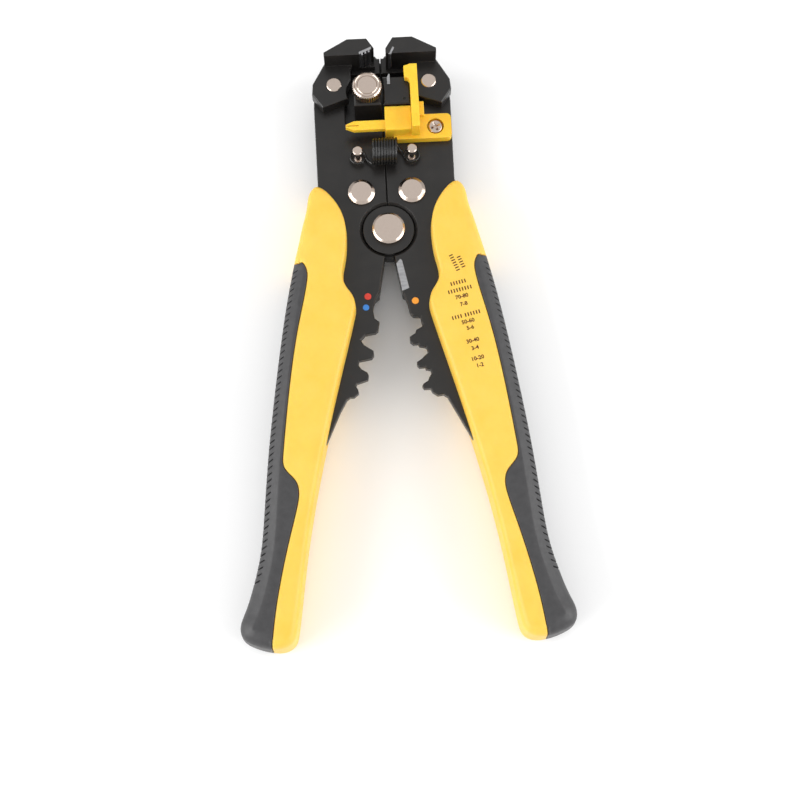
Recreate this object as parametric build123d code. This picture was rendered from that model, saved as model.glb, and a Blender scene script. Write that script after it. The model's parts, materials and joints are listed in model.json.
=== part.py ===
from build123d import *

import os

# Self-adjusting wire stripper, lying on its back. Millimetres.
# X to the right, Y from the handles to the head, Z up out of the face with the knob.
# Drawn with the main pivot at X = 0, Y = 0. The files are saved with the origin under the middle of
# the whole tool instead, on the plane that it rests on: pivot_y further up in Y.

pivot_y = 37.35

# ---- levels -------------------------------------------------------------------
back_bottom = 6.25          # back cheek, lower face
back_top = 8.70             # back cheek, upper face, and the middle layer's lower face
front_bottom = 11.30        # front cheek, lower face, and the middle layer's upper face
face = 13.75                # front cheek, upper face
slip = 0.10                 # play of a flat piece that turns or slides between cheeks
grip_thick = 20.0
grip_round = 2.4

# ---- main pivot ---------------------------------------------------------------
seam_half = 0.15            # half the gap between the two head halves
seam_lap = 1.5              # the left back cheek passes this far under the right half
recess_rim_r = 9.8          # round recess in both front cheeks, with a sloping rim
recess_r = 8.75
recess_slope = 1.2
disc_r = 8.6
disc_drop = 0.35            # the disc lies this far under the face
eye_r = 9.0                 # eyes of the cheeks that carry the pivot
eye_clear = 0.35
pivot_shank_r = 4.0
pivot_head_r = 5.45
pivot_head_h = 2.0
pivot_flat_r = 4.75
pivot_rim_h = 1.5           # straight part of the head, under its chamfer
pivot_tail_r = 5.2
pivot_tail_h = 1.2
running_play = 0.05

# ---- head ---------------------------------------------------------------------
head_half = 23.4
head_top = 64.0
window_half = 12.8          # opening in the front cheeks that the moving jaws slide in
window_low = 39.0
window_high = 57.3
block_h = 4.5               # fixed jaw block above the cheek
wall_h = 12.7               # clamping wall of the fixed jaw block
wall_face = 58.7
wall_back = 64.0
jaw_low = 41.3              # moving jaw block
jaw_high = 51.4
jaw_in = 0.35
jaw_out = 9.5
jaw_h = 9.2
knob_x = 4.9
knob_y = 46.15
knob_r = 5.0
jaw_rivet = (16.1, 51.6)
jaw_rivet_r = 2.55
jaw_rivet_head_h = 0.3
jaw_rivet_tail_r = 3.3
jaw_rivet_tail_h = 0.9

# ---- levers, spring -----------------------------------------------------------
lever_pin = (8.5, 13.5)
lever_pin_head_r = 4.5
lever_pin_flat_r = 3.45
lever_pin_head_h = 1.5
lever_pin_tail_r = 3.9
lever_pin_tail_h = 1.0
lever_pin_r = 2.6
lever_hub_r = 5.5
nose_r = 2.5
nose = (2.75, 34.5)
post = (9.1, 25.9)
post_r = 1.65
spring_r = 4.6
spring_wire_r = 0.42
spring_pitch = 0.92
spring_turns = 9
spring_y = 26.1
spring_z = face + 4.75
hook_z = face + 1.9

# ---- lower jaws ---------------------------------------------------------------
cutter_ray = 9.2            # degrees from -Y: edge of the wire cutter, right
anvil_ray = 10.6            # the same for the left cheek
cut_near = 12.4
cut_far = 22.6


def prism(points, low, high):
    outline = make_face(Polyline(*points, close=True))
    return extrude(Pos(0, 0, low) * outline, amount=high - low)


def disc(x, y, radius, low, high):
    return Pos(x, y, low) * Cylinder(radius, high - low, align=(Align.CENTER, Align.CENTER, Align.MIN))


def block(x0, x1, y0, y1, low, high):
    return Pos(x0, y0, low) * Box(x1 - x0, y1 - y0, high - low, align=(Align.MIN, Align.MIN, Align.MIN))


def flip(shape):
    return mirror(shape, about=Plane.YZ)


def ray(angle, radius):
    """Point at a distance from the pivot, at an angle from -Y towards +X."""
    v = Vector(0, -radius, 0).rotate(Axis.Z, angle)
    return (v.X, v.Y)


def top_edges(shape):
    return shape.edges().group_by(Axis.Z)[-1]


def save(name, shape):
    export_step(Pos(0, pivot_y, 0) * shape, "parts/" + name + ".step")


os.makedirs("parts", exist_ok=True)

# ---- grip outline, right-hand side --------------------------------------------
inner_upper = [(21.6, 14.2), (18.9, 11.6), (15.7, 6.4), (14.15, 1.0), (14.0, -4.5), (14.8, -11.6),
               (15.7, -17.0)]
tip = (23.5, 14.9)
inner_lower = [(12.7, -24.2), (11.95, -27.6), (12.6, -31.5), (17.0, -48.0), (23.1, -71.4), (28.5, -95.5),
               (31.9, -115.5), (34.3, -132.0)]
outer_side = [(52.6, -130.4), (51.0, -125.5), (48.4, -118.0), (45.9, -108.0), (44.4, -96.0), (42.7, -78.0),
              (39.9, -56.0), (35.6, -28.5), (31.7, -10.0), (25.7, 13.6)]
end_arc = [(34.3, -132.0), (35.6, -136.2), (38.6, -138.4), (42.6, -138.6), (48.4, -136.9), (52.0, -134.2),
           (52.6, -130.4)]


def grip_face():
    return make_face([
        Spline(*inner_upper),
        Spline(inner_upper[-1], (15.0, -20.4), inner_lower[0]),
        Spline(*inner_lower),
        Spline(*end_arc),
        Spline(*outer_side),
        ThreePointArc(outer_side[-1], tip, inner_upper[0]),
    ])


def pad_face():
    """Region of the grip that is the soft grey pad."""
    edge = Spline((33.0, -12.4), (31.4, -11.7), (29.6, -12.2), (27.9, -14.2), (27.6, -18.5), (30.5, -32.2),
                  (35.2, -60.0), (37.2, -77.0), (37.1, -80.6), (35.6, -83.0), (33.4, -85.7), (32.6, -89.2),
                  (33.2, -93.5), (35.2, -101.0), (38.6, -114.5), (41.0, -126.5), (42.6, -140.5))
    outside = Polyline((42.6, -140.5), (60, -140.5), (60, -12.4), (33.0, -12.4))
    return make_face([edge, outside])


grip_block = extrude(grip_face(), amount=grip_thick)
grip_rims = grip_block.edges().group_by(Axis.Z)
grip_block = fillet(list(grip_rims[0]) + list(grip_rims[-1]), grip_round)
pad_block = extrude(pad_face(), amount=grip_thick)

# ---- cheek outlines -----------------------------------------------------------
head_outline = [(10.8, head_top), (18.4, 59.2), (23.0, 52.0), (head_half, 46.0), (23.1, 17.0), (24.2, 8.0),
                (27.5, -6.0), (30.5, -26.0), (34.0, -54.0), (36.0, -76.0), (34.5, -90.0), (29.5, -88.0)]

# left crimping edge: three smooth notches, the outer two for bare terminals
left_edge = [(25.0, -76.0), (18.6, -62.2), (16.3, -58.2), (15.2, -57.4), (13.9, -57.4), (12.4, -56.2)]
left_edge += [(12.6, -55.0), (13.3, -53.8), (12.8, -52.9), (9.2, -51.8), (8.9, -50.4), (9.4, -49.3)]
left_edge += [(11.2, -48.2), (12.2, -46.7), (11.8, -45.3), (7.6, -44.6), (6.9, -43.6), (7.0, -42.1)]
left_edge += [(10.0, -40.0), (11.1, -38.2), (9.4, -36.5), (5.9, -35.9), (5.1, -35.2), (4.6, -32.3)]
left_edge += [(6.1, -31.0), (6.5, -28.4), (6.1, -26.2), (5.4, -24.1)]

# right crimping edge: three pointed teeth with stepped shoulders
right_edge = [(25.2, -76.5), (16.3, -58.8), (15.1, -57.9), (13.2, -58.1), (11.5, -56.9), (10.9, -55.7)]
right_edge += [(8.8, -55.7), (8.3, -54.8), (8.8, -54.0), (10.3, -53.1), (10.7, -52.0), (11.6, -50.8)]
right_edge += [(11.2, -49.4), (9.8, -49.1), (9.6, -48.3), (7.7, -48.4), (7.0, -47.6), (7.0, -46.6)]
right_edge += [(8.8, -45.5), (9.4, -44.8), (10.8, -43.7), (10.3, -41.6), (8.1, -41.1), (7.7, -40.3)]
right_edge += [(6.1, -40.4), (5.1, -39.5), (5.1, -37.9), (7.0, -36.7), (7.4, -35.6), (9.3, -34.6)]
right_edge += [(9.6, -33.8), (9.2, -33.0), (9.0, -31.1), (6.5, -30.8), (5.6, -29.6), (4.9, -26.0)]


# inner and back cheeks stop short of the crimping edges, so that the jaws are one plate thick
set_back_edge = [(28.5, -76.0), (22.5, -62.0), (17.5, -56.0), (15.5, -47.5), (13.5, -38.5), (10.0, -30.0),
                 (8.2, -25.5)]


def cheek(edge, angle, seam, low, high):
    """One side's cheek drawn on the right, before the pivot is cut."""
    radial = [ray(angle, cut_far), ray(angle, eye_r - 1.0), (seam, 0.0)]
    notch = [(seam, head_top - 0.9), (seam + 0.9, head_top - 0.9), (seam + 1.6, head_top)]
    return prism(radial + notch + head_outline + edge, low, high)


def window(low, high):
    return block(-1.0, window_half, window_low, window_high, low, high)


def pin_holes(low, high):
    holes = disc(*lever_pin, lever_pin_r, low, high) + disc(*jaw_rivet, jaw_rivet_r, low, high)
    return holes + disc(*post, 1.2, front_bottom, high)


def cheek_set(edge, angle, back_seam, eye_layer):
    """Front, inner and back cheeks of one side, drawn on the right."""
    keep_out = disc(0, 0, recess_r, back_bottom, face)
    front = cheek(edge, angle, seam_half, front_bottom, face) - keep_out - window(front_bottom, face)
    inner = cheek(set_back_edge, angle, seam_half, back_top, front_bottom)
    inner -= disc(0, 0, eye_r + eye_clear, back_top, front_bottom)
    inner -= prism([(-1.0, 6.6), (16.0, 6.6), (18.8, 12.0), (18.8, 46.0), (15.2, 50.0), (15.2, window_high),
                    (-1.0, window_high)], back_top, front_bottom)
    back = cheek(set_back_edge, angle, back_seam, back_bottom, back_top)
    back -= disc(0, 0, eye_r + eye_clear, back_bottom, back_top)
    neck = prism([(0.0, -6.0), (9.0, -10.0), (12.5, -2.0), (9.0, 6.0), (1.0, 8.6), (0.0, 8.6)],
                 back_top + slip, front_bottom - slip)
    if eye_layer == "inner":
        eye = disc(0, 0, eye_r, back_top + slip, front_bottom - slip) + neck
        inner = inner + eye - disc(0, 0, pivot_shank_r + running_play, back_top, front_bottom)
    else:
        eye = disc(0, 0, eye_r, back_bottom, back_top) + Pos(0, 0, back_bottom - back_top - slip) * neck
        eye += block(1.0, 10.5, -6.0, 5.0, back_bottom, back_top)
        back = back + eye - disc(0, 0, pivot_shank_r, back_bottom, back_top)
    front = chamfer(top_edges(front), 0.25)
    front -= Pos(0, 0, face - recess_slope / 2) * Cone(recess_r, recess_rim_r, recess_slope)
    holes = pin_holes(back_bottom, face)
    return front - holes, inner - holes, back - holes


front_l, inner_l, back_l = [flip(p) for p in cheek_set(left_edge, anvil_ray, -seam_lap, "back")]
front_r, inner_r, back_r = cheek_set(right_edge, cutter_ray, seam_lap + 2 * seam_half, "inner")

# ---- wire cutter insert on the right cheek -------------------------------------
cut_a = ray(cutter_ray, cut_near)
cut_b = ray(cutter_ray, cut_far - 0.4)
cutter_outline = [cut_a, (3.3, -10.7), (3.9, -11.2), (5.8, -21.0), cut_b]
cutter_blade = prism(cutter_outline, back_top, face)
front_r -= prism(cutter_outline, front_bottom, face)
inner_r -= prism(cutter_outline, back_top, front_bottom)

# ---- main pivot ---------------------------------------------------------------
disc_top = face - disc_drop
pivot_disc = disc(0, 0, disc_r, front_bottom, disc_top) - disc(0, 0, pivot_shank_r, front_bottom, disc_top)
pivot_disc = chamfer(top_edges(pivot_disc).sort_by(SortBy.RADIUS)[-1:], 0.15)


def rivet(x, y, shank_r, head_r, flat_r, head_h, low, high, tail_r, tail_h, rim_h=0.8):
    """Conical head with a flat on top, shank, and a flatter tail below."""
    head = disc(x, y, head_r, high, high + rim_h)
    head += Pos(x, y, high + (rim_h + head_h) / 2) * Cone(head_r, flat_r, head_h - rim_h)
    tail_disc = disc(x, y, tail_r, low - tail_h, low)
    tail = chamfer(tail_disc.edges().group_by(Axis.Z)[0], 0.4)
    return head + disc(x, y, shank_r, low, high) + tail


main_rivet = rivet(0, 0, pivot_shank_r, pivot_head_r, pivot_flat_r, pivot_head_h, back_bottom, disc_top,
                   pivot_tail_r, pivot_tail_h, pivot_rim_h)
lever_rivet = rivet(*lever_pin, lever_pin_r, lever_pin_head_r, lever_pin_flat_r, lever_pin_head_h,
                    back_bottom, face, lever_pin_tail_r, lever_pin_tail_h)

# ---- fixed jaw blocks ---------------------------------------------------------
foot_outline = [(20.2, 43.3), (23.7, 48.3), (23.4, 52.2), (19.0, 59.9), (11.0, wall_back), (4.4, wall_back),
                (1.9, 60.4), (1.9, wall_face), (3.0, 57.4), (10.15, 57.4), (10.15, 47.0), (11.2, 46.4)]
wall_outline = [(19.0, wall_face), (19.0, 59.9), (11.0, wall_back), (4.4, wall_back), (1.9, 60.4),
                (1.9, wall_face)]
relief = disc(knob_x, knob_y + 2.6, 6.9, face, face + block_h)

top = face + wall_h
slope_outline = Polyline((wall_face - 0.5, top - 1.1), (wall_back + 0.5, top + 0.1), (wall_face - 0.5, top + 0.1),
                         close=True)
slope = extrude(Plane.YZ * make_face(slope_outline), amount=30)


def fixed_jaw(slot):
    """Jaw block drawn on the right; slot is the pocket of its hardened insert."""
    foot = prism(foot_outline, face, face + block_h)
    foot -= relief
    foot -= block(0.0, jaw_out + 0.3, 40.0, wall_face, face, face + block_h)
    foot = fillet(top_edges(foot).filter_by_position(Axis.Y, 40.0, 57.0), 0.6)
    return foot + prism(wall_outline, face, top) - slope - slot - disc(*jaw_rivet, jaw_rivet_r, face, top)


# gripping insert, left: a bar set into the slanted lead-in of the wall, with three ridges that run in depth
ridge_low = face + 2.3
lead_outer = (7.4, wall_face)
lead_inner = (2.4, wall_face + 1.95)
lead_in = prism([lead_outer, lead_inner, (1.0, lead_inner[1]), (1.0, wall_face - 0.1),
                 (lead_outer[0], wall_face - 0.1)], ridge_low, top)
bar = prism([(7.1, wall_face + 0.10), (3.0, wall_face + 1.70), (3.0, wall_face + 2.50),
             (7.1, wall_face + 0.90)], ridge_low, top)
for ridge_x, ridge_y in ((3.75, wall_face + 1.45), (4.9, wall_face + 1.0), (6.05, wall_face + 0.55)):
    bar += block(ridge_x - 0.27, ridge_x + 0.27, ridge_y - 0.75, ridge_y + 0.3, ridge_low, top - 0.9)
gripper_insert = flip(bar - slope)

# stripping blades, right
blade_outline = [(2.75, 58.0), (3.3, 57.75), (4.9, 60.6), (4.35, 60.9)]
blade_slot = prism(blade_outline, ridge_low, top)
fixed_blade = blade_slot - slope

rear_jaw_l = flip(fixed_jaw(lead_in + bar))
rear_jaw_r = fixed_jaw(blade_slot)
jaw_pin = rivet(*jaw_rivet, jaw_rivet_r, jaw_rivet_r, jaw_rivet_r - 0.25, jaw_rivet_head_h, back_bottom,
                face + block_h, jaw_rivet_tail_r, jaw_rivet_tail_h, 0.1)

# ---- moving jaws --------------------------------------------------------------
toe_low = back_top + slip
toe_high = front_bottom - slip


def moving_jaw(slot):
    """Jaw that slides towards the wall: a block in the window and a wedge foot between the cheeks."""
    foot = prism([(0.5, 38.9), (3.2, 38.9), (4.6, 36.8), (10.6, 30.8), (13.2, 30.8), (14.9, 33.0),
                  (14.9, 42.6), (13.2, 43.6), (13.2, jaw_high), (0.5, jaw_high)], toe_low, toe_high)
    neck = block(jaw_in, jaw_out, jaw_low, jaw_high, toe_high, face + jaw_h)
    neck = chamfer(top_edges(neck), 0.5)
    return foot + neck - slot


toe_z = face + 1.0
knob_bore = disc(knob_x, knob_y, 2.0, face + 3.0, face + jaw_h)
insert_x0 = 3.0
insert_x1 = 7.0
tooth_slot = block(insert_x0, insert_x1, jaw_high - 2.0, jaw_high, toe_z, face + jaw_h - 0.8)
moving_gripper = block(insert_x0, insert_x1, jaw_high - 2.0, jaw_high, toe_z, face + jaw_h - 0.8)
for ridge_x in (4.25, 5.5):
    tooth = [(ridge_x - 0.42, jaw_high), (ridge_x, jaw_high + 0.55), (ridge_x + 0.42, jaw_high)]
    moving_gripper += prism(tooth, toe_z, face + jaw_h - 0.8)
moving_gripper = flip(moving_gripper)
front_jaw_l = flip(moving_jaw(knob_bore + tooth_slot))

cut_slot = block(1.9, 2.9, jaw_high - 3.0, jaw_high, toe_z, face + jaw_h)
moving_blade = prism([(1.9, jaw_high - 3.0), (2.9, jaw_high - 3.0), (2.9, jaw_high + 0.75),
                      (2.5, jaw_high + 0.75), (1.9, jaw_high - 0.5)], toe_z, face + jaw_h + 0.35)
dimple = disc(7.6, 42.9, 0.55, face + jaw_h - 0.4, face + jaw_h)
front_jaw_r = moving_jaw(cut_slot + dimple)

# ---- adjusting knob -----------------------------------------------------------
knob_base = face + jaw_h
knob_top = face + 14.2
knurl_count = 40
knob = disc(knob_x, knob_y, knob_r, knob_base + 0.9, knob_top)
knob = chamfer(knob.edges().group_by(Axis.Z)[-1], 0.7)
knob = chamfer(knob.edges().group_by(Axis.Z)[0], 0.4)
knob -= Pos(knob_x, knob_y, knob_top + 0.15) * Torus(3.75, 0.62)
groove = Pos(knob_x, knob_y, knob_base) * PolarLocations(knob_r + 0.05, knurl_count) * Cylinder(
    0.34, 8, align=(Align.CENTER, Align.CENTER, Align.MIN))
knob -= groove
knob += disc(knob_x, knob_y, 3.6, knob_base + 0.05, knob_base + 0.9)
knob += disc(knob_x, knob_y, 2.0 - running_play, face + 3.2, knob_base + 0.05)
adjusting_knob = flip(knob)

# ---- levers that drive the moving jaws ----------------------------------------
lever = disc(*lever_pin, lever_hub_r, toe_low, toe_high)
lever += prism([(4.6, 17.2), (12.2, 17.2), (5.0, 35.0), (0.6, 33.0)], toe_low, toe_high)
lever += disc(*nose, nose_r, toe_low, toe_high)
lever -= disc(*lever_pin, lever_pin_r + running_play, toe_low, toe_high)

# ---- spring and its posts -----------------------------------------------------
post_top = face + 7.0
post_body = disc(*post, 1.2, front_bottom, face) + disc(*post, 0.85, face, post_top - 2.6)
post_head = disc(*post, post_r, post_top - 2.6, post_top)
post_head = chamfer(top_edges(post_head), 0.25)
spring_post = post_body + chamfer(post_head.edges().group_by(Axis.Z)[0], 0.4)

coil_len = spring_pitch * spring_turns
coil_mean_r = spring_r - spring_wire_r
coil = Plane.YZ * Pos(0, 0, -coil_len / 2) * Helix(spring_pitch, coil_len, coil_mean_r)
coil = Pos(0, spring_y, spring_z) * coil
coil_tube = sweep(Plane(coil @ 0, z_dir=coil % 0) * Circle(spring_wire_r), path=coil, is_frenet=True)


def rod(start, end, radius):
    start = Vector(*start)
    end = Vector(*end)
    plane = Plane(origin=start, z_dir=end - start)
    return extrude(plane * Circle(radius), amount=(end - start).length)


def bent_wire(points, radius):
    """Round wire through points, with a ball at each bend."""
    body = rod(points[0], points[1], radius)
    for start, end in zip(points[1:], points[2:]):
        body += rod(start, end, radius) + Pos(*start) * Sphere(radius)
    return body


loop_r = 2.5
loop = Pos(post[0], post[1], hook_z) * Torus(loop_r, spring_wire_r)
rim = tuple(coil @ 1)
turn_end = (rim[0] + 0.55, spring_y + 1.4, spring_z - 0.6)
tail = bent_wire([rim, turn_end, (post[0] - loop_r + 0.1, post[1] + 0.6, hook_z)], spring_wire_r)
tail += Pos(*rim) * Sphere(spring_wire_r)
hook = loop + tail
head_spring = coil_tube + hook + flip(hook)

# ---- length stop --------------------------------------------------------------
plate_h = 3.0
channel = (33.3, 36.6, face + 5.0, face + 6.9)      # rod's channel: y low, y high, z low, z high
channel_gap = 0.12
box_x1 = 9.4
stop_plate = block(3.4, 23.0, 31.0, 39.9, face, face + plate_h)
stop_plate = fillet(stop_plate.edges().filter_by(Axis.Z).sort_by(Axis.X)[-2:], 1.6)
stop_box = block(0.6, box_x1, 32.4, 40.9, face, face + 8.0)
stop_box = fillet(top_edges(stop_box).sort_by(Axis.Y)[0], 0.7)
stop_tab = block(12.0, 14.0, 39.0, 44.0, face, face + 4.5)
stop_screw_at = (17.6, 35.4)
stop_bracket = stop_plate + stop_box + stop_tab
stop_bracket -= block(0.0, box_x1 + 0.3, channel[0] - channel_gap, channel[1] + channel_gap,
                      channel[2] - channel_gap, channel[3] + channel_gap)
stop_bracket -= disc(*stop_screw_at, 2.85, face + 1.4, face + plate_h)
stop_bracket -= disc(*stop_screw_at, 1.5, face, face + 1.4)

screw_head = fillet(top_edges(disc(*stop_screw_at, 2.5, face + 1.4, face + 2.8)), 0.7)
wing_outline = Polyline((-1.8, 0.1), (1.8, 0.1), (0.5, -1.0), (-0.5, -1.0), close=True)
wing = extrude(Plane.XZ * make_face(wing_outline), amount=0.4, both=True)
cross = Pos(*stop_screw_at, face + 2.8) * Rot(0, 0, 25) * (wing + Rot(0, 0, 90) * wing)
stop_screw = screw_head + disc(*stop_screw_at, 1.5, front_bottom, face + 1.4) - cross

stem_x0 = 9.5
stem_x1 = 12.1
rod_y = (channel[0] + channel[1]) / 2
slider = prism([(-9.9, channel[0]), (stem_x1, channel[0]), (stem_x1, channel[1]), (-9.9, channel[1]),
                (-12.7, rod_y + 0.45), (-12.7, rod_y + 0.15), (-11.9, rod_y), (-12.7, rod_y - 0.15),
                (-12.7, rod_y - 0.45)], channel[2], channel[3])
slider -= block(-13.0, -8.3, rod_y - 0.15, rod_y + 0.15, channel[2], channel[3])
stem_low = face + 5.0
stem_top = face + 12.4
slider += block(stem_x0, stem_x1, 31.3, 54.1, stem_low, stem_top)
slider += prism([(7.75, 49.3), (8.6, 49.15), (9.1, 48.8), (stem_x0, 48.0), (stem_x0, 54.0), (7.6, 53.4)],
                face + 9.55, stem_top)
length_stop = slider

# ---- colour dots --------------------------------------------------------------
red_dot = disc(-8.0, -23.4, 1.15, face, face + 0.12)
blue_dot = disc(-8.8, -27.2, 1.05, face, face + 0.12)
orange_dot = disc(7.6, -25.6, 1.15, face, face + 0.12)

# ---- grips over the tangs -----------------------------------------------------
tang_l = [flip(front_l), flip(inner_l), flip(back_l)]
tang_r = [front_r, inner_r, back_r]


def grip_pair(tang):
    """Yellow shell and grey pad, moulded round the cheeks' tangs."""
    whole = grip_block - tang[0] - tang[1] - tang[2] - block(0.0, 18.8, 6.0, 20.0, back_top, front_bottom)
    return whole - pad_block, whole & pad_block


shell_l, pad_l = [flip(p) for p in grip_pair(tang_l)]
shell_r, pad_r = grip_pair(tang_r)

# ---- files --------------------------------------------------------------------
front_r -= disc(*stop_screw_at, 1.5, front_bottom, face)
nodes = {
    "front_cheek_left": front_l,
    "front_cheek_right": front_r,
    "inner_cheek_left": inner_l,
    "inner_cheek_right": inner_r,
    "back_cheek_left": back_l,
    "back_cheek_right": back_r,
    "grip_shell_left": shell_l,
    "grip_shell_right": shell_r,
    "grip_pad_left": pad_l,
    "grip_pad_right": pad_r,
    "main_rivet": main_rivet,
    "pivot_disc": pivot_disc,
    "fixed_jaw_left": rear_jaw_l,
    "fixed_jaw_right": rear_jaw_r,
    "gripper_insert": gripper_insert,
    "fixed_blade": fixed_blade,
    "jaw_rivet_left": flip(jaw_pin),
    "jaw_rivet_right": jaw_pin,
    "moving_jaw_left": front_jaw_l,
    "moving_jaw_right": front_jaw_r,
    "moving_gripper": moving_gripper,
    "moving_blade": moving_blade,
    "adjusting_knob": adjusting_knob,
    "jaw_lever_left": flip(lever),
    "jaw_lever_right": lever,
    "lever_rivet_left": flip(lever_rivet),
    "lever_rivet_right": lever_rivet,
    "spring_post_left": flip(spring_post),
    "spring_post_right": spring_post,
    "head_spring": head_spring,
    "cutter_blade": cutter_blade,
    "stop_bracket": stop_bracket,
    "stop_screw": stop_screw,
    "length_stop": length_stop,
    "red_dot": red_dot,
    "blue_dot": blue_dot,
    "orange_dot": orange_dot,
}
for name, shape in nodes.items():
    save(name, shape)
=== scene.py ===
import json
import math

import bmesh
import bpy
import numpy as np
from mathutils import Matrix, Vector
from mathutils.bvhtree import BVHTree
from mathutils.geometry import delaunay_2d_cdt


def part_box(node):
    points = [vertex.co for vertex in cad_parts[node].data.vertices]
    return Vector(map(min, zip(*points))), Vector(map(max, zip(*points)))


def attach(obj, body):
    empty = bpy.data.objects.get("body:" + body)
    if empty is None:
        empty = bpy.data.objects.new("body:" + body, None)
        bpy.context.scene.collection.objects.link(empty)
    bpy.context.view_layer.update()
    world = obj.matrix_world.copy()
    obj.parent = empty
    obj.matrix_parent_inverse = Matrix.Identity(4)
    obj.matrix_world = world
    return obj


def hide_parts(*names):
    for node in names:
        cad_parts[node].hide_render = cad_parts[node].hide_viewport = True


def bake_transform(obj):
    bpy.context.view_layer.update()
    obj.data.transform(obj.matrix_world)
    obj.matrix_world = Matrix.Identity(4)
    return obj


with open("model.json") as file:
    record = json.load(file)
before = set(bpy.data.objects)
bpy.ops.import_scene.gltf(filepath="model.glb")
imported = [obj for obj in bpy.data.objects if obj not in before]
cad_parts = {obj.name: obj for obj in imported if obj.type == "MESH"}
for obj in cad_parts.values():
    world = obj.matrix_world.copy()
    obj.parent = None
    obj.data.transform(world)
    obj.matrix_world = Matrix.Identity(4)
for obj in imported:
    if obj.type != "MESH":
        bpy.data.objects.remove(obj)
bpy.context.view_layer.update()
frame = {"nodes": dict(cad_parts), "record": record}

# Outlines are in millimetres with the main pivot at X = 0, Y = 0, drawn for the right-hand side.
MM = 0.001
PIVOT_Y = 37.35
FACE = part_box("front_cheek_left")[1].z / MM      # upper face of the cheeks


def place(points):
    """Millimetres about the pivot to metres in the row frame."""
    return (np.asarray(points, float) + (0.0, PIVOT_Y, 0.0)) * MM


# ---- camera, light, floor ------------------------------------------------------
CAMERA_AIM = (0.8, -21.9, 13.75)    # millimetres in the row frame
CAMERA_AZIMUTH = -2.9               # degrees
CAMERA_ELEVATION = 75
CAMERA_DISTANCE = 484
FIELD_OF_VIEW = 30
SENSOR = 36
CLIP_START = 0.02

SOFTBOX_SIZE = (1.0, 0.6)           # metres, as are the places
SOFTBOXES = {"key": ((-0.84, -0.16, 0.46), 8.2), "fill": ((0.84, -0.16, 0.44), 7.2)}
SKY_BELOW, SKY_ABOVE = 0.54, 0.92   # strength of the surroundings, from below up to the zenith
FLOOR_HALF = 3.0


def add_camera():
    azimuth, elevation = math.radians(CAMERA_AZIMUTH), math.radians(CAMERA_ELEVATION)
    back = Vector((math.sin(azimuth) * math.cos(elevation), -math.cos(azimuth) * math.cos(elevation),
                   math.sin(elevation)))
    data = bpy.data.cameras.new("camera")
    data.sensor_width = SENSOR
    data.lens = SENSOR / 2 / math.tan(math.radians(FIELD_OF_VIEW / 2))
    data.clip_start = CLIP_START
    camera = bpy.data.objects.new("camera", data)
    bpy.context.scene.collection.objects.link(camera)
    camera.location = Vector(CAMERA_AIM) * MM + back * (CAMERA_DISTANCE * MM)
    camera.rotation_mode = "QUATERNION"
    camera.rotation_quaternion = (-back).to_track_quat("-Z", "Y")
    bpy.context.scene.camera = camera


def add_softbox(name, location, power):
    """Area light that points at the tool."""
    data = bpy.data.lights.new(name, "AREA")
    data.shape = "RECTANGLE"
    data.size, data.size_y = SOFTBOX_SIZE
    data.energy = power
    light = bpy.data.objects.new(name, data)
    bpy.context.scene.collection.objects.link(light)
    light.location = location
    light.rotation_mode = "QUATERNION"
    light.rotation_quaternion = (-Vector(location)).to_track_quat("-Z", "Y")


def add_sky():
    """White surroundings that are brighter overhead than below."""
    world = bpy.data.worlds.new("studio")
    bpy.context.scene.world = world
    world.use_nodes = True
    tree = world.node_tree
    background = tree.nodes["Background"]
    coordinates = tree.nodes.new("ShaderNodeTexCoord")
    split = tree.nodes.new("ShaderNodeSeparateXYZ")
    ramp = tree.nodes.new("ShaderNodeMapRange")
    ramp.inputs["To Min"].default_value = SKY_BELOW
    ramp.inputs["To Max"].default_value = SKY_ABOVE
    tree.links.new(coordinates.outputs["Generated"], split.inputs["Vector"])
    tree.links.new(split.outputs["Z"], ramp.inputs["Value"])
    tree.links.new(ramp.outputs["Result"], background.inputs["Strength"])
    background.inputs["Color"].default_value = (1.0, 1.0, 1.0, 1)


def add_floor(material):
    corners = [(x * FLOOR_HALF, y * FLOOR_HALF, 0) for x, y in ((-1, -1), (1, -1), (1, 1), (-1, 1))]
    mesh = bpy.data.meshes.new("floor")
    mesh.from_pydata(corners, [], [(0, 1, 2, 3)])
    floor = bpy.data.objects.new("floor", mesh)
    bpy.context.scene.collection.objects.link(floor)
    mesh.materials.append(material)


# ---- materials -----------------------------------------------------------------
SHEEN_FROM, SHEEN_TO = 0.97, 0.86     # how far the rounded normal leans where the painted edge highlight starts and where it is full
SHEEN_PATCH_MM = 1.2                       # size of the patches of painted edge highlight along an edge
SHEEN_CUT = (0.42, 0.62)             # the part of their noise in which the painted edge highlight grows
# strongest share of the painted edge highlight
SHEEN_MOST = 0.8
SHOWING = (0.3, 0.7)                # the part of a noise's range that is spread over the whole


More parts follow.
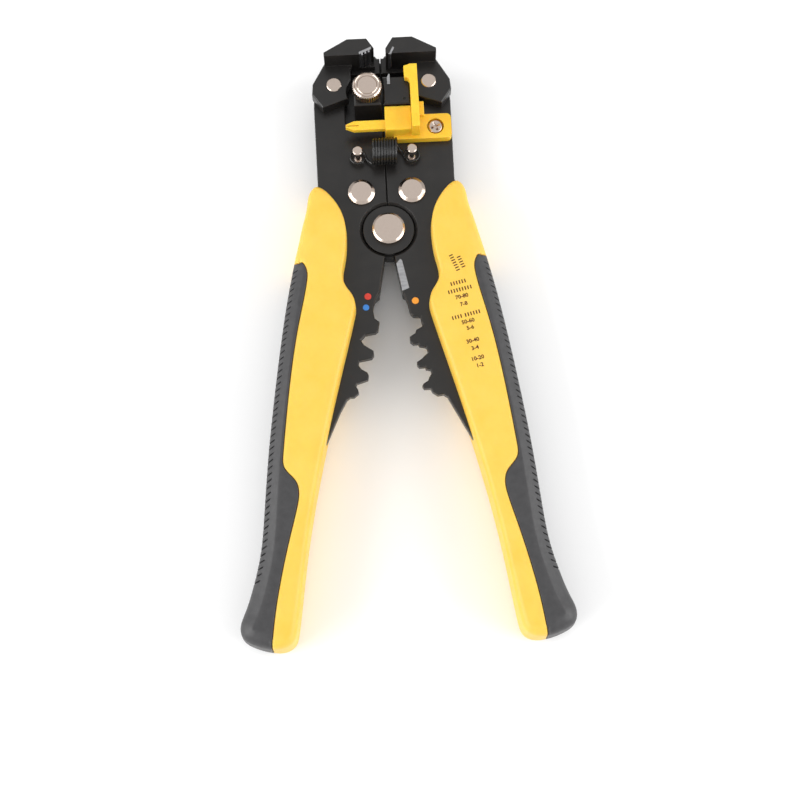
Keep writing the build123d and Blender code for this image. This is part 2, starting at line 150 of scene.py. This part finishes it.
def finish(name, dark, light, patch_mm, rough, bump_mm=0.3, bump_height=0.01, metallic=0.0, edge_sheen=None,
           edge_mm=0.25, stretch=(1.0, 1.0, 1.0), **sockets):
    """Procedural finish: patches from dark to light, a grain in roughness and relief, and a painted highlight
    in patches along the edges.
    """
    material = bpy.data.materials.new(name)
    material.use_nodes = True
    tree = material.node_tree
    link = tree.links.new
    shader = tree.nodes["Principled BSDF"]
    shader.inputs["Metallic"].default_value = metallic
    for socket, value in sockets.items():
        shader.inputs[socket.replace("_", " ").title().replace("Ior", "IOR")].default_value = value

    def node(kind, **inputs):
        made = tree.nodes.new("ShaderNode" + kind)
        for key, value in inputs.items():
            made.inputs[key].default_value = value
        return made

    def noise(size_mm, detail):
        made = node("TexNoise", Scale=1.0 / (size_mm * MM), Detail=detail, Roughness=0.6)
        link(mapping.outputs["Vector"], made.inputs["Vector"])
        return made.outputs["Fac"]

    def spread(value, low, high, to_low, to_high):
        made = tree.nodes.new("ShaderNodeMapRange")
        link(value, made.inputs["Value"])
        for key, number in zip(("From Min", "From Max", "To Min", "To Max"), (low, high, to_low, to_high)):
            made.inputs[key].default_value = number
        return made.outputs["Result"]

    def mix(factor, a, b):
        made = tree.nodes.new("ShaderNodeMix")
        made.data_type = "RGBA"
        link(factor, made.inputs["Factor"])
        for name, value in (("A", a), ("B", b)):
            socket = next(s for s in made.inputs if s.name == name and s.type == "RGBA")
            if isinstance(value, tuple):
                socket.default_value = (*value, 1)
            else:
                link(value, socket)
        return next(s for s in made.outputs if s.type == "RGBA")

    coordinates = tree.nodes.new("ShaderNodeTexCoord")
    mapping = node("Mapping", Scale=stretch)
    link(coordinates.outputs["Object"], mapping.inputs["Vector"])
    colour = mix(spread(noise(patch_mm, 4.0), *SHOWING, 0.0, 1.0), dark, light)
    bevel = node("Bevel", Radius=edge_mm * MM)
    bevel.samples = 4
    # painted highlight: a lighter colour mixed in along the edges, where the rounded normal leans away from the
    # true one, broken into patches by noise
    if edge_sheen:
        geometry = tree.nodes.new("ShaderNodeNewGeometry")
        dot = tree.nodes.new("ShaderNodeVectorMath")
        dot.operation = "DOT_PRODUCT"
        link(bevel.outputs["Normal"], dot.inputs[0])
        link(geometry.outputs["Normal"], dot.inputs[1])
        edge = spread(dot.outputs["Value"], SHEEN_FROM, SHEEN_TO, 0.0, 1.0)
        patchy = tree.nodes.new("ShaderNodeMath")
        patchy.operation = "MULTIPLY"
        link(edge, patchy.inputs[0])
        link(spread(noise(SHEEN_PATCH_MM, 3.0), *SHEEN_CUT, 0.0, SHEEN_MOST), patchy.inputs[1])
        colour = mix(patchy.outputs["Value"], colour, edge_sheen)
    link(colour, shader.inputs["Base Color"])
    link(spread(noise(bump_mm * 2.5, 3.0), *SHOWING, *rough), shader.inputs["Roughness"])
    bump = node("Bump", Strength=1.0, Distance=bump_height * MM)
    link(noise(bump_mm, 2.0), bump.inputs["Height"])
    link(bevel.outputs["Normal"], bump.inputs["Normal"])
    link(bump.outputs["Normal"], shader.inputs["Normal"])
    return material


TRANSLUCENT = {"Subsurface_Weight": 0.3, "Subsurface_Radius": (1.0, 0.3, 0.05), "Subsurface_Scale": 0.0025}
# the lighter colour given for the edges of a material is a painted edge highlight
materials = {
    "black_steel": finish("black_steel", (0.008, 0.0072, 0.0068), (0.013, 0.0115, 0.0105), 5.0, (0.28, 0.40),
                          0.25, 0.006, edge_sheen=(0.07, 0.065, 0.06)),
    "yellow_plastic": finish("yellow_plastic", (0.80, 0.495, 0.06), (0.84, 0.535, 0.085), 9.0, (0.40, 0.5),
                             0.3, 0.008, edge_sheen=(0.97, 0.68, 0.16), edge_mm=0.3, **TRANSLUCENT),
    "grey_rubber": finish("grey_rubber", (0.032, 0.0315, 0.033), (0.045, 0.044, 0.046), 2.5, (0.42, 0.52),
                          0.35, 0.03, edge_sheen=(0.08, 0.08, 0.083), edge_mm=0.3),
    "yellow_nylon": finish("yellow_nylon", (0.86, 0.50, 0.022), (0.90, 0.55, 0.034), 4.0, (0.35, 0.5),
                           0.3, 0.006, edge_sheen=(0.97, 0.68, 0.18), **TRANSLUCENT),
    "nickel_plate": finish("nickel_plate", (0.57, 0.475, 0.41), (0.62, 0.52, 0.45), 0.4, (0.16, 0.26),
                           0.22, 0.006, metallic=1.0, edge_sheen=(0.8, 0.74, 0.68), edge_mm=0.12),
    "bare_steel": finish("bare_steel", (0.34, 0.34, 0.35), (0.50, 0.50, 0.51), 0.7, (0.28, 0.42),
                         0.2, 0.006, metallic=1.0, stretch=(0.25, 1.0, 1.0), edge_mm=0.1),
    "black_spring_steel": finish("black_spring_steel", (0.006, 0.006, 0.006), (0.012, 0.0115, 0.011), 1.5,
                                 (0.13, 0.22), 0.2, 0.004),
    "red_paint": finish("red_paint", (0.55, 0.035, 0.02), (0.68, 0.05, 0.03), 0.6, (0.35, 0.5), 0.2, 0.004),
    "blue_paint": finish("blue_paint", (0.03, 0.19, 0.62), (0.05, 0.25, 0.72), 0.6, (0.35, 0.5), 0.2, 0.004),
    "orange_paint": finish("orange_paint", (0.85, 0.30, 0.02), (0.93, 0.38, 0.04), 0.6, (0.35, 0.5),
                           0.2, 0.004),
    "ink": finish("ink", (0.06, 0.010, 0.008), (0.09, 0.016, 0.012), 0.5, (0.4, 0.55), 0.2, 0.002, edge_mm=0.02,
                  Specular_IOR_Level=0.2),
}
for subpart in frame["record"]["subparts"]:
    mesh = frame["nodes"][subpart["node"]].data
    mesh.materials.clear()
    mesh.materials.append(materials[subpart["material_slot"]])


# ---- curves --------------------------------------------------------------------
def smooth_curve(points, step, closed=False):
    """Points about one step apart on the cubic spline through the given ones."""
    p = np.array(points, float)
    if closed:
        p = np.vstack([p, p[:1]])
    gap = np.linalg.norm(np.diff(p, axis=0), axis=1)
    slope = np.diff(p, axis=0) / gap[:, None]

    # m: second derivatives at the points, which keep the slope steady from one stretch to the next
    n = len(p)
    a = np.zeros((n, n))
    b = np.zeros((n, p.shape[1]))
    for i in range(1, n - 1):
        a[i, i - 1:i + 2] = gap[i - 1], 2 * (gap[i - 1] + gap[i]), gap[i]
        b[i] = 6 * (slope[i] - slope[i - 1])
    a[0, 0] = 1
    if closed:
        a[0, -1] = -1
        a[-1, -2], a[-1, -1], a[-1, 1] = gap[-1], 2 * (gap[-1] + gap[0]), gap[0]
        b[-1] = 6 * (slope[0] - slope[-1])
    else:
        a[-1, -1] = 1
    m = np.linalg.solve(a, b)
    made = []
    for i in range(n - 1):
        count = max(1, round(gap[i] / step))
        for t in np.arange(count) / count * gap[i]:
            u = gap[i] - t
            bend = (m[i] * u ** 3 + m[i + 1] * t ** 3) / (6 * gap[i])
            made.append(bend + (p[i] / gap[i] - m[i] * gap[i] / 6) * u
                        + (p[i + 1] / gap[i] - m[i + 1] * gap[i] / 6) * t)
    if not closed:
        made.append(p[-1])
    return np.array(made)


class Loop:
    """Closed anticlockwise outline that can be read at any distance along it."""

    def __init__(self, points):
        self.points = points
        self.ends = np.vstack([points, points[:1]])
        self.at = np.concatenate([[0], np.cumsum(np.linalg.norm(np.diff(self.ends, axis=0), axis=1))])
        self.length = self.at[-1]

    def read(self, s):
        """Point at a distance along the outline."""
        s = np.mod(s, self.length)
        return np.stack([np.interp(s, self.at, column) for column in self.ends.T], axis=-1)

    def inward(self, s, reach=0.4):
        """Unit vector into the outline, square to the chord from reach before to reach after."""
        tangent = self.read(s + reach) - self.read(s - reach)
        tangent /= np.linalg.norm(tangent, axis=-1, keepdims=True)
        return np.stack([-tangent[..., 1], tangent[..., 0]], axis=-1)

    def nearest(self, points):
        """Distance to the outline, and where along it the nearest point is."""
        distance = np.linalg.norm(points[:, None, :] - self.points[None, :, :], axis=2)
        index = distance.argmin(axis=1)
        return distance[np.arange(len(points)), index], self.at[index]


def inside(points, polygon):
    """Which of the points lie inside the polygon."""
    x, y = points[:, 0:1], points[:, 1:2]
    x0, y0 = polygon[:, 0], polygon[:, 1]
    x1, y1 = np.roll(x0, -1), np.roll(y0, -1)
    crossing = (y0 > y) != (y1 > y)
    with np.errstate(divide="ignore", invalid="ignore"):
        left = x < (x1 - x0) * (y - y0) / (y1 - y0) + x0
    return (crossing & left).sum(axis=1) % 2 == 1


def distance_to(points, others):
    """How far each point is from the nearest of the others."""
    return np.linalg.norm(points[:, None] - others[None], axis=2).min(axis=1)


# ---- pieces --------------------------------------------------------------------
def add_piece(name, points, faces, slot, crisp_angle=35):
    """Smooth-shaded closed mesh from points in millimetres about the pivot."""
    mesh = bpy.data.meshes.new(name)
    mesh.from_pydata([tuple(p) for p in place(points)], [], [tuple(f) for f in faces])
    shape = bmesh.new()
    shape.from_mesh(mesh)
    bmesh.ops.recalc_face_normals(shape, faces=shape.faces)
    for face in shape.faces:
        face.smooth = True
    shape.to_mesh(mesh)
    shape.free()
    mesh.set_sharp_from_angle(angle=math.radians(crisp_angle))
    piece = bpy.data.objects.new(name, mesh)
    bpy.context.scene.collection.objects.link(piece)
    mesh.materials.append(materials[slot])
    return piece


def tube(path, radius, sides=10):
    """Points and faces of a round wire along a path, closed at both ends."""
    tangent = np.gradient(path, axis=0)
    tangent /= np.linalg.norm(tangent, axis=1, keepdims=True)
    side = np.cross(tangent[0], (0.3, 0.2, 1.0))
    points, faces = [], []
    for point, along in zip(path, tangent):
        side = side - along * side.dot(along)
        side /= np.linalg.norm(side)
        other = np.cross(along, side)
        for turn in np.arange(sides) * math.tau / sides:
            points.append(point + radius * (math.cos(turn) * side + math.sin(turn) * other))
    for k in range(len(path) - 1):
        for j in range(sides):
            n = (j + 1) % sides
            faces.append((k * sides + j, k * sides + n, (k + 1) * sides + n, (k + 1) * sides + j))
    faces.append(tuple(range(sides)))
    faces.append(tuple(reversed(range(len(points) - sides, len(points)))))
    return points, faces


# ---- grips ---------------------------------------------------------------------
GRIP_THICK = 20.0
GRIP_OUTLINE = [(21.6, 14.2), (18.9, 11.6), (15.7, 6.4), (14.15, 1.0), (14.0, -4.5), (14.8, -11.6),
                (15.7, -17.0), (15.0, -20.4), (12.7, -24.2), (11.95, -27.6), (12.6, -31.5), (17.0, -48.0),
                (23.1, -71.4), (28.5, -95.5), (31.9, -115.5), (34.3, -132.0), (35.5, -135.7), (38.5, -137.8),
                (42.6, -138.0), (48.3, -136.3), (51.9, -133.7), (52.6, -130.4), (51.0, -125.5), (48.4, -118.0),
                (45.9, -108.0), (44.4, -96.0), (42.7, -78.0), (39.9, -56.0), (35.6, -28.5), (31.7, -10.0),
                (30.2, -4.1), (28.7, 1.8), (27.1, 8.1), (25.7, 13.3), (23.6, 14.9)]
# beside a point of the outline: bevel width, bevel drop, edge radius, bevel power (1 is a sharp crease)
GRIP_STATIONS = [
    ((21.6, 14.2), 2.6, 0.8, 1.2, 1.6),
    ((15.7, 6.4), 3.0, 0.35, 0.9, 1.6),
    ((15.7, -17.0), 3.0, 0.35, 0.9, 1.6),
    ((12.0, -27.6), 3.0, 0.5, 1.0, 1.6),
    ((17.0, -48.0), 4.2, 0.9, 1.3, 1.6),
    ((31.9, -115.5), 4.2, 0.9, 1.4, 1.6),
    ((35.6, -136.2), 2.4, 0.7, 1.9, 1.6),
    ((42.0, -138.6), 2.4, 0.7, 1.9, 1.4),
    ((43.6, -138.6), 3.4, 2.0, 1.7, 1.1),
    ((52.0, -134.2), 4.2, 2.4, 1.7, 1.08),
    ((51.0, -125.5), 4.8, 3.0, 1.6, 1.08),
    ((44.4, -96.0), 4.6, 3.0, 1.6, 1.08),
    ((33.0, -16.0), 4.4, 2.8, 1.6, 1.15),
    ((31.0, -7.0), 4.6, 2.0, 1.6, 1.5),
    ((25.7, 13.6), 3.0, 1.2, 1.4, 1.6),
]
PAD_EDGE = [(29.6, -12.2), (27.9, -14.2), (27.6, -18.5), (30.5, -32.2), (35.2, -60.0), (37.2, -77.0),
            (37.1, -80.6), (35.6, -83.0), (33.4, -85.7), (32.6, -89.2), (33.2, -93.5), (35.2, -101.0),
            (38.6, -114.5), (41.0, -126.5)]
PAD_TOP = (32.1, -11.9)             # where the pad's edge meets the outline, at its top and at its end
PAD_END = (42.5, -138.0)
PAD_CORNER = (52.0, -134.2)         # outer corner at the end, where the crease of the bevel starts
CROWN = 0.25                        # the flat of the grip swells by this much
CROWN_REACH = 7.0
PARTING = 0.22                      # depth of the line round the middle, where the mould halves met
PARTING_HALF = 0.25
UPPER_LEAN, LOWER_LEAN = 0.3, 0.55  # how far the wall leans in on the upper and on the lower half
GROOVE_DEPTH = 0.45                 # line between shell and pad
GROOVE_HALF = 0.24
PAD_CREASE = 0.06                   # the flat sinks this much along the pad's edge
RIB_ENDS = ((47.9, -117.0), (32.9, -15.6))
RIB_COUNT = 49
RIB_FLOOR, RIB_MOUTH = 0.13, 0.3    # half widths of a rib's slot
RIB_CLEAR = 0.45                    # half width of the closer columns round it
RIB_ZONE = 3.0                      # the ribs' lean fades out over this length past the first and the last
RIB_LEAN = 0.62                     # how far a rib climbs along the edge per millimetre inwards
RIB_DEPTH = 0.85
RIB_LONG = 1.9
RIB_FADE = 0.5
RUN = 0.15                          # how far the edge strip runs past its rounding,
RUN_RIBS = 0.95                     # how much further beside the ribs,
RUN_LOWER = 0.25                    # and how much less on the lower half, whose wall leans in more
OUTLINE_STEP = 0.25
COLUMN_STEP = 0.6
CREASE_STEP = 0.9
GRID_STEP = 1.3
GRID_CLEAR = 0.7


def grip_section(numbers, wall, extra=None):
    """Rows of the grip's edge, from the parting line up to the flat: inset and height for every column.

    wall is how far the wall leans in, and extra how far the rows run past the rounded edge. Without extra,
    the result is the function from inset to height.
    """
    width, drop, radius, power = numbers.T

    def height(inset):
        bevel = drop * np.clip(1 - inset / width, 0, None) ** power
        reach = np.clip(inset / CROWN_REACH, 0, 1)
        crown = CROWN * (1 - reach * reach * (3 - 2 * reach))
        short = np.clip(radius - (inset - wall), 0, radius)
        return GRIP_THICK / 2 - bevel - crown - (radius - np.sqrt(np.clip(radius ** 2 - short ** 2, 0, None)))

    if extra is None:
        return height
    full, none = np.ones(len(width)), np.zeros(len(width))
    top = height(full * wall)
    rows = [(full * PARTING, none), (none, full * PARTING_HALF)]
    for share in (0.35, 0.7, 1.0):
        rows.append((full * (wall * share), PARTING_HALF + (top - PARTING_HALF) * share))
    for angle in (18, 36, 54, 72, 90):
        inset = wall + radius * (1 - math.cos(math.radians(angle)))
        rows.append((inset, height(inset)))
    for share in (1 / 3, 2 / 3, 1.0):
        inset = wall + radius + extra * share
        rows.append((inset, height(inset)))
    return rows


class GripEdge:
    """Edge strip of the grip, in columns along its outline."""

    def __init__(self):
        self.loop = Loop(smooth_curve(GRIP_OUTLINE, OUTLINE_STEP, closed=True))
        stations = sorted((self.along(point), row) for point, *row in GRIP_STATIONS)
        self.station_at = [s for s, _ in stations]
        self.station_rows = [row for _, row in stations]
        self.pad_top, self.pad_end = self.along(PAD_TOP), self.along(PAD_END)
        self.rib_low, self.rib_high = self.along(RIB_ENDS[0]), self.along(RIB_ENDS[1])
        ribs = np.linspace(self.rib_low, self.rib_high, RIB_COUNT)
        self.columns = self.spread_columns(ribs)
        self.count = len(self.columns)
        self.first, self.last = (int(np.argmin(abs(self.columns - s))) for s in (self.pad_top, self.pad_end))
        self.numbers = self.numbers_at(self.columns)
        from_ribs = np.minimum(self.columns - self.rib_low, self.rib_high - self.columns)
        self.zone = np.clip(from_ribs / RIB_ZONE + 1, 0, 1)
        from_pad = np.minimum(abs(self.columns - self.pad_top), abs(self.columns - self.pad_end))
        self.groove = np.clip(1 - from_pad / GROOVE_HALF, 0, 1)
        to_rib = np.abs(self.columns[:, None] - ribs[None, :]).min(axis=1)
        self.rib = np.clip((RIB_MOUTH - to_rib) / (RIB_MOUTH - RIB_FLOOR), 0, 1)

    def along(self, point):
        """Distance along the outline to the place nearest to a point."""
        return self.loop.nearest(np.array([point], float))[1][0]

    def spread_columns(self, ribs):
        """Even steps, closer ones at each rib, and three where shell and pad meet."""
        pitch = ribs[1] - ribs[0]
        low, high = self.rib_low - pitch / 2, self.rib_high + pitch / 2
        joints = (self.pad_top, self.pad_end)
        columns = [s for s in np.arange(0, self.loop.length, COLUMN_STEP)
                   if not low < s < high and min(abs(s - joint) for joint in joints) > 0.5]
        rib_steps = (-RIB_CLEAR, -RIB_MOUTH, -RIB_FLOOR, RIB_FLOOR, RIB_MOUTH, RIB_CLEAR, pitch / 2)
        columns += [s + step for s in ribs for step in rib_steps]
        columns += [s + step for s in joints for step in (-GROOVE_HALF, 0, GROOVE_HALF)]
        return np.array(sorted(columns))

    def numbers_at(self, s):
        """Bevel width, bevel drop, edge radius and bevel power at distances along the outline."""
        return np.stack([np.interp(s, self.station_at, column, period=self.loop.length)
                         for column in zip(*self.station_rows)], axis=1)

    def strip(self, wall, extra):
        """One half's rows of (x, y, height over the middle), with the ribs and the groove sunk in."""
        rows = grip_section(self.numbers, wall, extra)
        made = []
        for k, (inset, height) in enumerate(rows):
            before, after = rows[max(k - 1, 0)], rows[min(k + 1, len(rows) - 1)]
            fall = np.stack([after[1] - before[1], before[0] - after[0]], axis=1)
            fall /= np.linalg.norm(fall, axis=1, keepdims=True) + 1e-9
            fade = np.clip((RIB_LONG + RIB_FADE / 2 - inset) / RIB_FADE, 0, 1) * (k > 2)
            sink = self.rib * RIB_DEPTH * fade + self.groove * GROOVE_DEPTH * (k > 1)
            s = self.columns + RIB_LEAN * self.zone * inset
            xy = self.loop.read(s) + self.loop.inward(s) * (inset + fall[:, 0] * sink)[:, None]
            made.append(np.column_stack([xy, height + fall[:, 1] * sink]))
        return made


class GripFlat:
    """The flat between the edge strips, as triangles that follow the pad's edge."""

    def __init__(self, rim, ring):
        self.rim = rim
        self.edge = smooth_curve([ring[rim.first], *PAD_EDGE, ring[rim.last]], 0.5)
        direction = np.gradient(self.edge, axis=0)
        direction /= np.linalg.norm(direction, axis=1, keepdims=True)
        across = np.stack([-direction[:, 1], direction[:, 0]], axis=1)

        # the ring that the strip ends on, the pad's edge, and lines beside it, all kept as edges
        points = [ring, self.edge[1:-1]]
        links = [(j, (j + 1) % rim.count) for j in range(rim.count)]
        start = rim.count + len(points[1])
        self.chain = [rim.first, *range(rim.count, start), rim.last]
        links += zip(self.chain, self.chain[1:])
        for offset in (-0.6, -GROOVE_HALF, GROOVE_HALF, 0.6):
            line = (self.edge + across * offset)[2:-2]
            points.append(line)
            links += [(start + k, start + k + 1) for k in range(len(line) - 1)]
            start += len(line)

        # the bevel's crease, and an even grid over the rest
        outer = np.arange(rim.along(PAD_CORNER), rim.rib_high, CREASE_STEP)
        for offset in (-0.3, 0.15):
            inset = rim.numbers_at(outer)[:, 0] + offset
            line = rim.loop.read(outer) + rim.loop.inward(outer) * inset[:, None]
            points.append(line[distance_to(line, self.edge) > CREASE_STEP])
        low, high = ring.min(axis=0), ring.max(axis=0)
        grid = np.meshgrid(np.arange(low[0], high[0], GRID_STEP), np.arange(low[1], high[1], GRID_STEP))
        grid = np.stack(grid, -1).reshape(-1, 2)
        grid = grid[inside(grid, ring)]
        points.append(grid[distance_to(grid, np.vstack(points)) > GRID_CLEAR])

        sheet = [Vector(p) for p in np.vstack(points)]
        flat, _, self.triangles, origin, _, _ = delaunay_2d_cdt(sheet, links, [], 1, 1e-5)
        self.points = np.array([tuple(p) for p in flat])
        self.source = [o[0] if o else -1 for o in origin]

    def heights(self, wall):
        """Height over the middle at every point, with the groove sunk in."""
        inset, where = self.rim.loop.nearest(self.points)
        height = grip_section(self.rim.numbers_at(where), wall)(inset)
        from_edge = distance_to(self.points, self.edge)
        groove = GROOVE_DEPTH * np.clip(1 - from_edge / GROOVE_HALF, 0, 1)
        return height - groove - PAD_CREASE * (from_edge < 0.5)

    def on_pad(self):
        """Which triangles are the pad's."""
        rim = self.rim
        polygon = np.vstack([self.edge, rim.loop.read(np.linspace(rim.pad_end, rim.pad_top, 200))])
        return inside(np.array([self.points[list(t)].mean(axis=0) for t in self.triangles]), polygon)


def grip_shape():
    """Points, faces, which faces are the pad's, and the cut between shell and pad, for the right-hand side."""
    rim = GripEdge()
    extra = RUN + RUN_RIBS * rim.zone
    upper, lower = rim.strip(UPPER_LEAN, extra), rim.strip(LOWER_LEAN, extra - RUN_LOWER)
    flat = GripFlat(rim, upper[-1][:, :2])
    middle = (rim.columns + np.roll(rim.columns, -1)) / 2
    column_pad = (middle > rim.pad_end) & (middle < rim.pad_top)
    column_pad[-1] = False

    points, faces, is_pad, halves = [], [], [], []
    for sign, rows, wall in ((1, upper, UPPER_LEAN), (-1, lower, LOWER_LEAN)):
        index = []
        for k, row in enumerate(rows):
            if halves and k == 0:
                index.append(halves[0][0][0])
                continue
            index.append(list(range(len(points), len(points) + rim.count)))
            points += [(p[0], p[1], GRIP_THICK / 2 + sign * p[2]) for p in row]
        flat_index = []
        for source, xy, h in zip(flat.source, flat.points, flat.heights(wall)):
            if 0 <= source < rim.count:
                flat_index.append(index[-1][source])
            else:
                flat_index.append(len(points))
                points.append((xy[0], xy[1], GRIP_THICK / 2 + sign * h))
        for k in range(len(rows) - 1):
            for j in range(rim.count):
                n = (j + 1) % rim.count
                faces.append((index[k][j], index[k][n], index[k + 1][n], index[k + 1][j]))
                is_pad.append(column_pad[j])
        faces += [tuple(flat_index[v] for v in t) for t in flat.triangles]
        is_pad += list(flat.on_pad())
        halves.append((index, flat_index))

    # the cut runs from the parting line at the pad's top over its edge to its end, on both halves
    number_of = {number: index for index, number in enumerate(flat.source) if number >= 0}
    lines = []
    for index, flat_index in halves:
        line = [row[rim.first] for row in index]
        line += [flat_index[number_of[number]] for number in flat.chain[1:-1]]
        line += [row[rim.last] for row in reversed(index)]
        lines.append(line)
    a, b = lines
    cut = [tuple(dict.fromkeys((a[k], a[k + 1], b[k + 1], b[k]))) for k in range(len(a) - 1)]
    return np.array(points), faces, is_pad, cut


def build_grips():
    """Shell and pad of both grips. side is 1 on the right and -1 on the left."""
    points, faces, is_pad, cut = grip_shape()
    points[:, 2] = points[:, 2].clip(0, GRIP_THICK)
    for side, word in ((-1, "left"), (1, "right")):
        for slot, kind, flag in (("yellow_plastic", "shell", False), ("grey_rubber", "pad", True)):
            chosen = [f for f, pad in zip(faces, is_pad) if pad == flag] + cut
            used = sorted({v for f in chosen for v in f})
            rename = {v: k for k, v in enumerate(used)}
            piece = add_piece("grip_" + kind + "_skin_" + word, points[used] * (side, 1, 1),
                              [tuple(rename[v] for v in f) for f in chosen], slot)
            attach(piece, word + "_frame")
            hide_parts("grip_" + kind + "_" + word)


build_grips()

# ---- head spring ---------------------------------------------------------------
SPRING_Y = 26.1
SPRING_Z = FACE + 4.75
COIL_R = 4.18
COIL_PITCH = 0.94
COIL_TURNS = 9
COIL_END = COIL_TURNS * math.pi - 1.0            # angle of the coil's end, from its middle
COIL_STEPS = 28                     # points per turn
WIRE_R = 0.45
POST = (9.1, 25.9)
HOOK_Z = FACE + 1.9
HOOK_R = 2.5
HOOK_LEAD = 4.5                     # how softly the wire turns from the coil into its hook
HOOK_TURN = (180, 505, 12)          # degrees round the post: from, to, step


def spring_hook(side):
    """Wire from the coil's end to the loop round a post; side is 1 on the right and -1 on the left."""
    end = np.array([COIL_PITCH * COIL_END / math.tau, COIL_R * math.sin(COIL_END), COIL_R * math.cos(COIL_END)])
    leave = np.array([COIL_PITCH / math.tau, COIL_R * math.cos(COIL_END), -COIL_R * math.sin(COIL_END)])
    leave /= np.linalg.norm(leave)
    start = np.array([POST[0] - HOOK_R, (POST[1] - SPRING_Y) * side, HOOK_Z - SPRING_Z])
    arrive = np.array([0.0, -1.0, 0.0])
    t = np.linspace(0, 1, 13)[1:-1, None]
    lead = ((2 * t ** 3 - 3 * t ** 2 + 1) * end + (t ** 3 - 2 * t ** 2 + t) * HOOK_LEAD * leave
            + (3 * t ** 2 - 2 * t ** 3) * start + (t ** 3 - t ** 2) * HOOK_LEAD * arrive)
    angle = np.radians(np.arange(*HOOK_TURN))
    loop = np.column_stack([POST[0] + HOOK_R * np.cos(angle), start[1] + HOOK_R * np.sin(angle),
                            np.full(len(angle), start[2])])
    return np.vstack([lead, loop]) * (side, side, 1)


def build_spring():
    angle = np.linspace(-COIL_END, COIL_END, COIL_TURNS * COIL_STEPS)
    coil = np.column_stack([COIL_PITCH * angle / math.tau, COIL_R * np.sin(angle), COIL_R * np.cos(angle)])
    path = np.vstack([spring_hook(-1)[::-1], coil, spring_hook(1)]) + (0, SPRING_Y, SPRING_Z)
    spring = add_piece("head_spring_wire", *tube(path, WIRE_R), "black_spring_steel")
    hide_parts("head_spring")
    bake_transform(spring)


build_spring()

# ---- print on the right grip -----------------------------------------------------
ALONG, ACROSS = -68, 12.5           # directions of the rows, in degrees
# centre of a row, its direction, and either its plain counting numbers or how many bars it has
PRINT = [((23.1, -15.0), ALONG, 5), ((20.9, -15.2), ALONG, 7), ((21.7, -22.1), ACROSS, 6),
         ((22.1, -24.6), ACROSS, 9), ((22.6, -26.9), ACROSS, "70-80"), ((23.1, -29.5), ACROSS, "7-8"),
         ((20.6, -34.0), ACROSS, 4), ((25.7, -32.9), ACROSS, 6), ((24.1, -35.5), ACROSS, "50-60"),
         ((24.7, -37.7), ACROSS, "5-6"), ((25.2, -42.1), ACROSS, "30-40"), ((25.8, -44.6), ACROSS, "3-4"),
         ((26.4, -48.1), ACROSS, "10-20"), ((27.0, -50.5), ACROSS, "1-2")]
PRINT_HEIGHT = 1.3
DIGIT_SHARE = 0.7                   # a digit's height as a share of the font's size
PRINT_BOLD = 0.05
BAR_WIDTH = 0.38
BAR_STEP = 0.93
INK_ABOVE = 0.02
INK_BELOW = 0.12
CORNERS = ((-1, -1), (1, -1), (1, 1), (-1, 1))
BAR_FACES = ((3, 2, 1, 0), (4, 5, 6, 7), (0, 1, 5, 4), (1, 2, 6, 5), (2, 3, 7, 6), (3, 0, 4, 7))


def bar_row(count):
    """Bars side by side about the row's centre: points and faces with z 1 above and 0 below."""
    points, faces = [], []
    for k in range(count):
        x = (k - (count - 1) / 2) * BAR_STEP
        first = len(points)
        points += [(x + a * BAR_WIDTH / 2, b * PRINT_HEIGHT / 2, z) for z in (0, 1) for a, b in CORNERS]
        faces += [tuple(first + v for v in face) for face in BAR_FACES]
    return points, faces


def number_row(content):
    """Numbers about the row's centre: points and faces with z 1 above and 0 below."""
    curve = bpy.data.curves.new("digits", "FONT")
    curve.body = content
    curve.size = PRINT_HEIGHT / DIGIT_SHARE
    curve.align_x = "CENTER"
    curve.extrude = 0.1
    curve.offset = PRINT_BOLD
    curve.resolution_u = 3
    carrier = bpy.data.objects.new("digits", curve)
    bpy.context.scene.collection.objects.link(carrier)
    shape = bmesh.new()
    shape.from_mesh(carrier.to_mesh())
    bmesh.ops.remove_doubles(shape, verts=shape.verts, dist=1e-5)
    shape.verts.index_update()
    points = [(v.co.x, v.co.y - PRINT_HEIGHT / 2, float(v.co.z > 0)) for v in shape.verts]
    faces = [tuple(v.index for v in face.verts) for face in shape.faces]
    shape.free()
    bpy.data.objects.remove(carrier)
    bpy.data.curves.remove(curve)
    return points, faces


def build_print():
    """Marks laid on the shell, each point on the surface below it."""
    skin = bpy.data.objects["grip_shell_skin_right"].data
    tree = BVHTree.FromPolygons([v.co for v in skin.vertices], [p.vertices for p in skin.polygons])
    points, faces = [], []
    for centre, degrees, content in PRINT:
        row, row_faces = bar_row(content) if isinstance(content, int) else number_row(content)
        c, s = math.cos(math.radians(degrees)), math.sin(math.radians(degrees))
        first = len(points)
        for x, y, upper in row:
            x, y = centre[0] + c * x - s * y, centre[1] + s * x + c * y
            above = Vector(place((x, y, 2 * GRIP_THICK)))
            surface = tree.ray_cast(above, Vector((0, 0, -1)))[0].z / MM
            points.append((x, y, surface + (INK_ABOVE if upper else -INK_BELOW)))
        faces += [tuple(first + v for v in face) for face in row_faces]
    marks = add_piece("grip_print_right", points, faces, "ink")
    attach(marks, "right_frame")


build_print()

# ---- scene ---------------------------------------------------------------------
bpy.context.scene.view_settings.view_transform = "Standard"
add_camera()
add_sky()
for name, (location, power) in SOFTBOXES.items():
    add_softbox(name, location, power)
add_floor(finish("floor_paper", (0.92, 0.92, 0.92), (0.93, 0.93, 0.93), 40.0, (0.7, 0.8), 1.5, 0.01))
